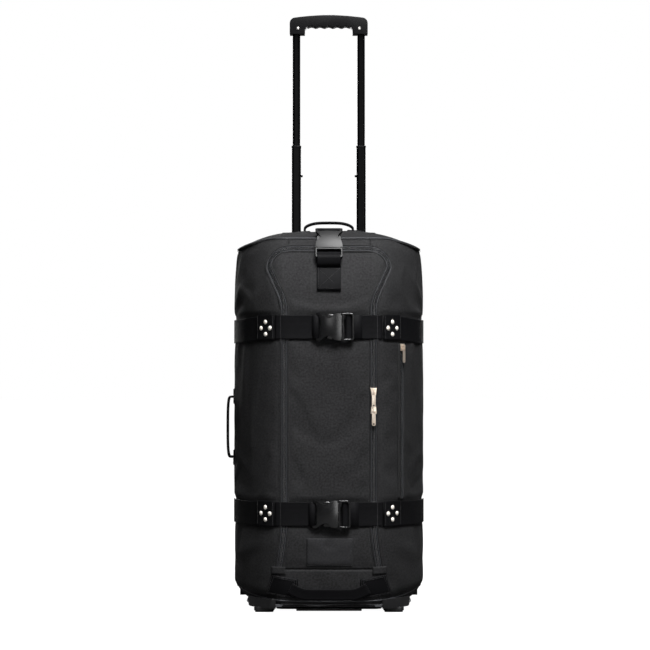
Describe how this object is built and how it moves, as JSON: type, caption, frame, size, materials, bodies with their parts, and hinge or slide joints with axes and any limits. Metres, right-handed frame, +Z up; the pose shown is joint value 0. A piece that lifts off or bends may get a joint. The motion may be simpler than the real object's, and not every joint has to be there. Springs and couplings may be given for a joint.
{
  "type": "rolling duffel bag",
  "caption": "Tall soft-sided rolling bag: zipped front flap, buckled straps, moulded base, rear wheels and telescopic pull handle.",
  "frame": {"origin": "on the floor, under the middle of the whole footprint, with the bag standing on its front feet and rear wheels", "axes": "+Z up along the bag and its pull handle, -Y towards the front flap, +X to the right as seen from the front"},
  "size_m": [0.4016, 0.3762, 1.2215],
  "materials": {
    "moulded_black": "fine moulded grain, satin",
    "foot_rubber": "matt",
    "screw_steel": "zinc plated",
    "axle_steel": "turned",
    "tyre_black": "matt, lightly scuffed",
    "hub_grey": "satin",
    "bearing_steel": "ground",
    "charcoal_fabric": "tight coated ballistic weave",
    "piping_black": "corded piping",
    "zip_tape": "twill tape with coil teeth",
    "webbing_black": "ribbed webbing",
    "badge_cloth": "smooth blank patch with a stitched edge",
    "board_grey": "bare corrugated board",
    "tube_black": "matt black anodised",
    "grip_black": "soft-touch",
    "button_grey": "satin",
    "buckle_gloss": "glossy moulded",
    "slider_nickel": "warm nickel plate, worn",
    "rivet_nickel": "pale nickel plate"
  },
  "bodies": {
    "bag": {"base_tray": "moulded_black", "base_screws": "screw_steel", "front_feet": "foot_rubber", "wheel_housings": "moulded_black", "wheel_axles": "axle_steel", "bottom_panel": "charcoal_fabric", "back_panel": "charcoal_fabric", "left_side_panel": "charcoal_fabric", "right_side_panel": "charcoal_fabric", "front_panels": "charcoal_fabric", "top_panel": "charcoal_fabric", "seam_piping": "piping_black", "handle_tunnel": "board_grey", "outer_tubes": "tube_black", "tube_bezel": "moulded_black", "tube_foot": "moulded_black", "skid_rails": "moulded_black", "body_zip": "zip_tape", "side_zip": "zip_tape", "dome_strap": "webbing_black", "side_straps": "webbing_black", "rivet_tabs": "webbing_black", "rivets": "rivet_nickel", "handle_patches": "webbing_black", "bottom_grab_handle": "webbing_black"},
    "left_wheel": {"left_tyre": "tyre_black", "left_hub": "hub_grey", "left_bearings": "bearing_steel"},
    "right_wheel": {"right_tyre": "tyre_black", "right_hub": "hub_grey", "right_bearings": "bearing_steel"},
    "lower_stage": {"middle_tubes": "tube_black", "middle_collars": "moulded_black", "lock_pins": "moulded_black"},
    "upper_stage": {"inner_tubes": "tube_black", "grip": "grip_black", "grip_screws": "screw_steel", "button_spring": "bearing_steel"},
    "release_button": {"grip_button": "button_grey"},
    "flap": {"front_flap": "charcoal_fabric", "flap_zip": "zip_tape", "front_straps": "webbing_black", "flap_strap": "webbing_black", "badge_patch": "badge_cloth", "upper_buckle_socket": "buckle_gloss", "lower_buckle_socket": "buckle_gloss", "top_buckle_socket": "buckle_gloss"},
    "upper_plug": {"upper_buckle_plug": "buckle_gloss", "upper_strap_tail": "webbing_black"},
    "lower_plug": {"lower_buckle_plug": "buckle_gloss", "lower_strap_tail": "webbing_black"},
    "top_plug": {"top_buckle_plug": "buckle_gloss"},
    "upper_slider": {"main_slider_upper": "slider_nickel"},
    "upper_pull": {"main_pull_upper": "slider_nickel"},
    "lower_slider": {"main_slider_lower": "slider_nickel"},
    "lower_pull": {"main_pull_lower": "slider_nickel"},
    "pocket_slider": {"side_slider": "slider_nickel"},
    "pocket_pull": {"side_pull": "slider_nickel"},
    "top_handle": {"top_carry_handle": "webbing_black"},
    "side_handle": {"side_carry_handle": "webbing_black"}
  },
  "joints": [
    {"name": "left_wheel_spin", "type": "hinge", "parent": "bag", "child": "left_wheel", "pos_m": [-0.1508, 0.1521, 0.036], "axis": [1, 0, 0], "continuous": true},
    {"name": "right_wheel_spin", "type": "hinge", "parent": "bag", "child": "right_wheel", "pos_m": [0.1652, 0.1521, 0.036], "axis": [1, 0, 0], "continuous": true},
    {"name": "lower_stage_slide", "type": "slide", "parent": "bag", "child": "lower_stage", "axis": [0, 0, 1], "range_m": [-0.17, 0]},
    {"name": "upper_stage_slide", "type": "slide", "parent": "lower_stage", "child": "upper_stage", "axis": [0, 0, 1], "range_m": [-0.22, 0]},
    {"name": "release_button_press", "type": "slide", "parent": "upper_stage", "child": "release_button", "axis": [0, 0, 1], "range_m": [-0.004, 0], "stiffness_N_per_m": 800, "springref_m": 0.001, "deforming": ["button_spring"]},
    {"name": "flap_open", "type": "hinge", "parent": "bag", "child": "flap", "pos_m": [0.0072, -0.17017, 0.086], "axis": [1, 0, 0], "range_deg": [0, 95]},
    {"name": "upper_plug_pull", "type": "slide", "parent": "flap", "child": "upper_plug", "axis": [1, 0, 0], "range_m": [0, 0.03]},
    {"name": "lower_plug_pull", "type": "slide", "parent": "flap", "child": "lower_plug", "axis": [1, 0, 0], "range_m": [0, 0.03]},
    {"name": "top_plug_pull", "type": "slide", "parent": "flap", "child": "top_plug", "axis": [0, -0.5446, -0.8387], "range_m": [0, 0.03]},
    {"name": "upper_slider_travel", "type": "slide", "parent": "flap", "child": "upper_slider", "axis": [0, 0, 1], "range_m": [0, 0.07]},
    {"name": "lower_slider_travel", "type": "slide", "parent": "flap", "child": "lower_slider", "axis": [0, 0, 1], "range_m": [-0.15, 0]},
    {"name": "pocket_slider_travel", "type": "slide", "parent": "bag", "child": "pocket_slider", "axis": [0, 0, 1], "range_m": [-0.25, 0]},
    {"name": "upper_pull_swing", "type": "hinge", "parent": "upper_slider", "child": "upper_pull", "pos_m": [0.0942, -0.1803, 0.4315], "axis": [-1, 0, 0], "range_deg": [0, 150]},
    {"name": "lower_pull_swing", "type": "hinge", "parent": "lower_slider", "child": "lower_pull", "pos_m": [0.0942, -0.1803, 0.3955], "axis": [-1, 0, 0], "range_deg": [0, 150]},
    {"name": "pocket_pull_swing", "type": "hinge", "parent": "pocket_slider", "child": "pocket_pull", "pos_m": [0.15502, -0.13454, 0.5185], "axis": [-0.583, -0.8125, 0], "range_deg": [0, 150]},
    {"name": "top_handle_swing", "type": "hinge", "parent": "bag", "child": "top_handle", "pos_m": [0.0072, 0.0181, 0.7615], "axis": [1, 0, 0], "range_deg": [-30, 30]},
    {"name": "side_handle_swing", "type": "hinge", "parent": "bag", "child": "side_handle", "pos_m": [-0.1883, 0.0161, 0.359], "axis": [0, 0, 1], "range_deg": [-30, 30]}
  ]
}
